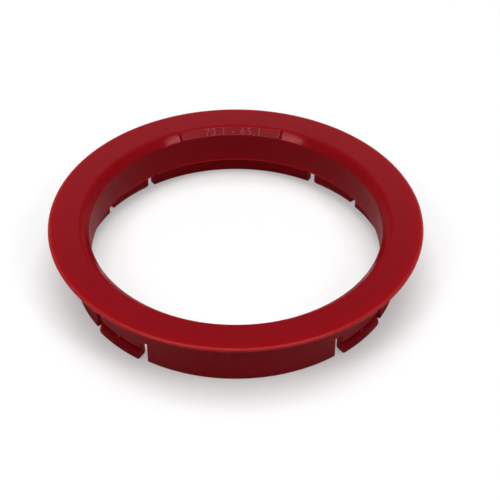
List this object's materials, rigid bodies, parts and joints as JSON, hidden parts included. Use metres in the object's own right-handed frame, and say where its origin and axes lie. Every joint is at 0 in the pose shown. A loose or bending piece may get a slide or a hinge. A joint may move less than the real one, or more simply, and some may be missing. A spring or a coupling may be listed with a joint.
{
  "type": "hub centric ring",
  "caption": "Flanged plastic ring that centres a car wheel on its hub: bore for the hub's spigot, slotted skirt with snap tabs for the wheel's centre bore.",
  "frame": {"origin": "on the ring's axis, level with the skirt's lower edge", "axes": "+Z along the ring's axis, from the skirt towards the flange's flat face; the snap tabs stand at 45 degrees between X and Y"},
  "size_m": [0.083, 0.083, 0.0137],
  "materials": {
    "red_plastic": "satin moulded red"
  },
  "bodies": {
    "root": {"ring": "red_plastic"}
  },
  "joints": []
}
